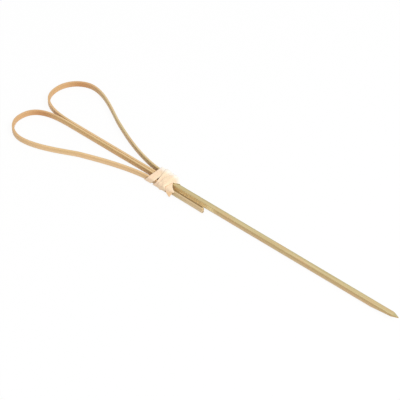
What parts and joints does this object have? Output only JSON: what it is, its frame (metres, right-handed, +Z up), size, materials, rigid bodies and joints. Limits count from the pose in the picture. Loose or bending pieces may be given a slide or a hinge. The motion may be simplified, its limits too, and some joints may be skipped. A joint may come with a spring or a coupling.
{
  "type": "heart cocktail pick",
  "caption": "A bamboo pick with a pointed shaft, its split head bent round into loops that make a heart and tied back with a strip of pale peel.",
  "frame": {"origin": "The middle of the binding's underside, the flat that the pick lies on", "axes": "+X along the shaft to the point, -X to the heart, +Y across the stick to the larger loop, +Z up from the surface the pick lies on"},
  "size_m": [0.1193, 0.0278, 0.0025],
  "materials": {
    "bamboo": "planed bamboo, satin, with long fine fibres",
    "peel": "thin pale bamboo peel, matt, with fine lines along it"
  },
  "bodies": {
    "root": {"bamboo_stick": "bamboo", "binding_strip": "peel"}
  },
  "joints": []
}
